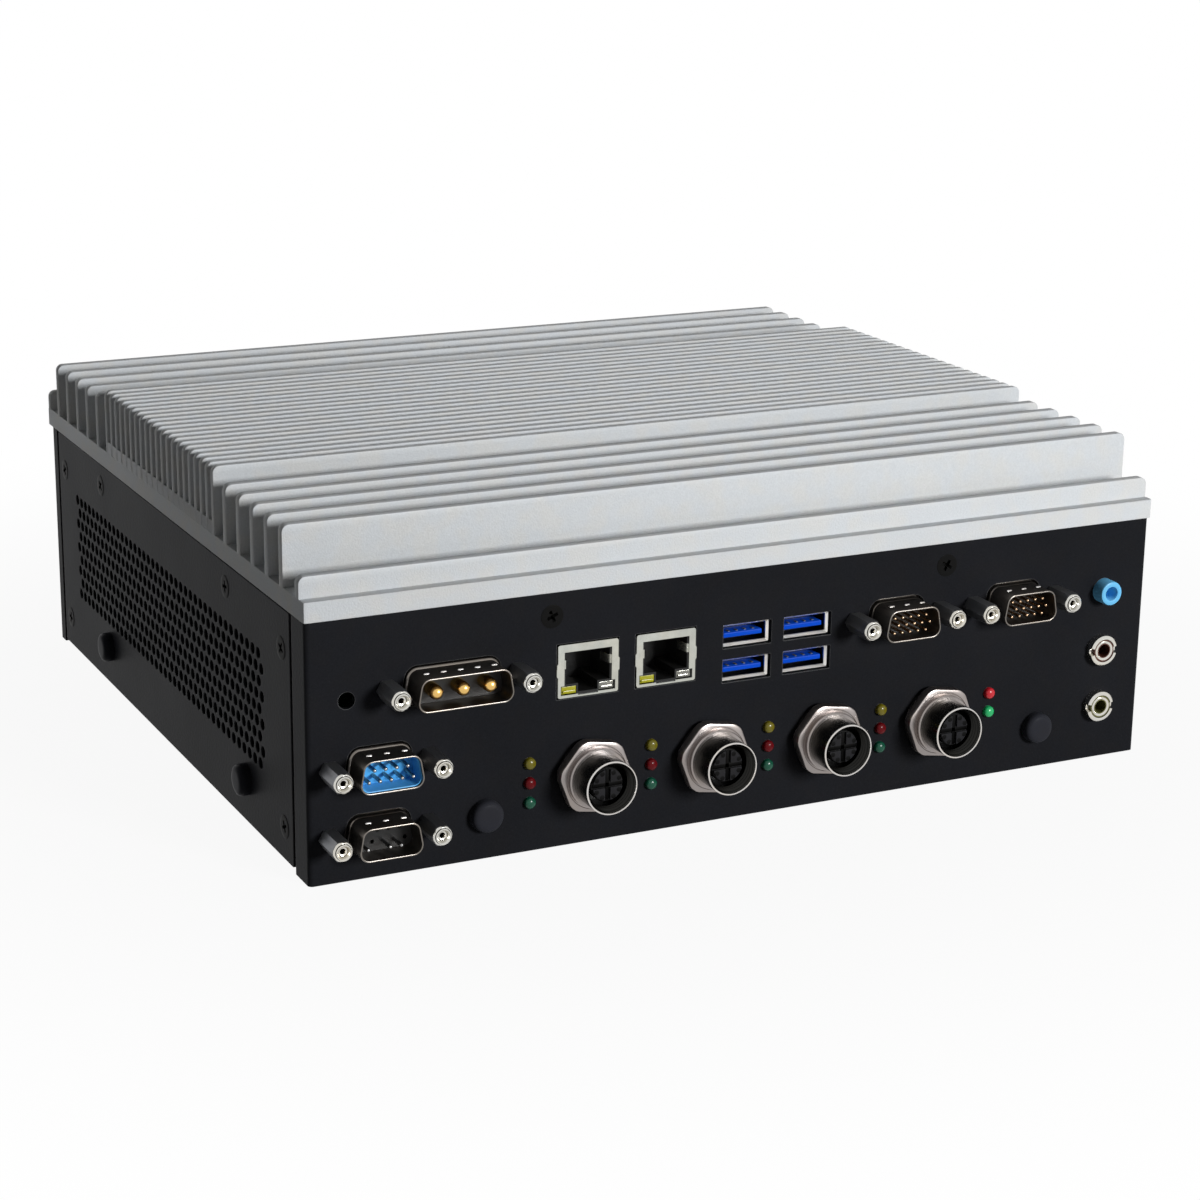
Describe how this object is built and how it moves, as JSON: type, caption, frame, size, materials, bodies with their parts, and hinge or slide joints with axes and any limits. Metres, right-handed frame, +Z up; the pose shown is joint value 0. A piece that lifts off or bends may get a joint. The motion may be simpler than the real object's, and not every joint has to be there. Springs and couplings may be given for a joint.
{
  "type": "fanless industrial computer",
  "caption": "Low black steel box computer with a finned aluminium heat sink as its lid and all connectors in the front panel.",
  "frame": {"origin": "centre of the enclosure on its underside", "axes": "+X to the right as seen from the front, along the fins; +Y from the connector panel to the rear; +Z up"},
  "size_m": [0.242, 0.2298, 0.0875],
  "materials": {
    "blasted_aluminium": "sand-blasted",
    "black_powder_coat": "fine powder coat",
    "black_screw": "black zinc",
    "black_plug": "smooth moulded",
    "dark_nickel": "nickel plate",
    "bright_nickel": "nickel plate",
    "black_plastic": "moulded",
    "blue_plastic": "moulded",
    "gold_pin": "gold flash",
    "yellow_lens": "clear moulded",
    "clear_lens": "clear moulded",
    "red_lens": "clear moulded",
    "green_lens": "clear moulded",
    "m12_shield_metal": "die cast",
    "gasket_rubber": "moulded",
    "audio_green": "moulded",
    "audio_brown": "moulded",
    "audio_blue": "moulded",
    "circuit_board": "solder mask",
    "processor_lid": "nickel plate",
    "heat_block_metal": "milled",
    "drive_case": "pressed"
  },
  "bodies": {
    "root": {"audio_jack_bottom": "audio_green", "audio_jack_middle": "audio_brown", "audio_jack_nuts": "bright_nickel", "audio_jack_top": "audio_blue", "board_standoffs": "bright_nickel", "bottom_tray": "black_powder_coat", "bottom_tray_screws": "black_screw", "bracket_nuts": "bright_nickel", "bus_connector_insert": "black_plastic", "bus_connector_pins": "gold_pin", "bus_connector_shell": "dark_nickel", "connector_jackscrews": "bright_nickel", "front_hole_plugs": "black_plug", "front_panel": "black_powder_coat", "front_panel_screws": "black_screw", "heat_block": "heat_block_metal", "heatsink_cover": "blasted_aluminium", "io_1_connector_insert": "black_plastic", "io_1_connector_pins": "gold_pin", "io_1_connector_shell": "dark_nickel", "io_2_connector_insert": "black_plastic", "io_2_connector_pins": "gold_pin", "io_2_connector_shell": "dark_nickel", "lan_jack_1_shield": "bright_nickel", "lan_jack_2_shield": "bright_nickel", "lan_jack_bodies": "black_plastic", "lan_jack_contacts": "gold_pin", "lan_lights_clear": "clear_lens", "lan_lights_yellow": "yellow_lens", "left_hole_plugs": "black_plug", "left_panel_screws": "black_screw", "left_side_panel": "black_powder_coat", "m12_socket_1_housing": "dark_nickel", "m12_socket_2_housing": "dark_nickel", "m12_socket_3_housing": "dark_nickel", "m12_socket_4_housing": "dark_nickel", "m12_socket_gaskets": "gasket_rubber", "m12_socket_inserts": "black_plastic", "m12_socket_nuts": "bright_nickel", "m12_socket_shields": "m12_shield_metal", "main_board": "circuit_board", "port_board": "circuit_board", "power_connector_insert": "black_plastic", "power_connector_pins": "gold_pin", "power_connector_shell": "dark_nickel", "processor": "processor_lid", "rear_panel": "black_powder_coat", "rear_panel_screws": "black_screw", "right_hole_plugs": "black_plug", "right_panel_screws": "black_screw", "right_side_panel": "black_powder_coat", "serial_connector_insert": "blue_plastic", "serial_connector_pins": "gold_pin", "serial_connector_shell": "dark_nickel", "status_lights_green": "green_lens", "status_lights_red": "red_lens", "status_lights_yellow": "yellow_lens", "storage_drive": "drive_case", "usb_port_shells": "bright_nickel", "usb_port_tongues": "blue_plastic"}
  },
  "joints": []
}
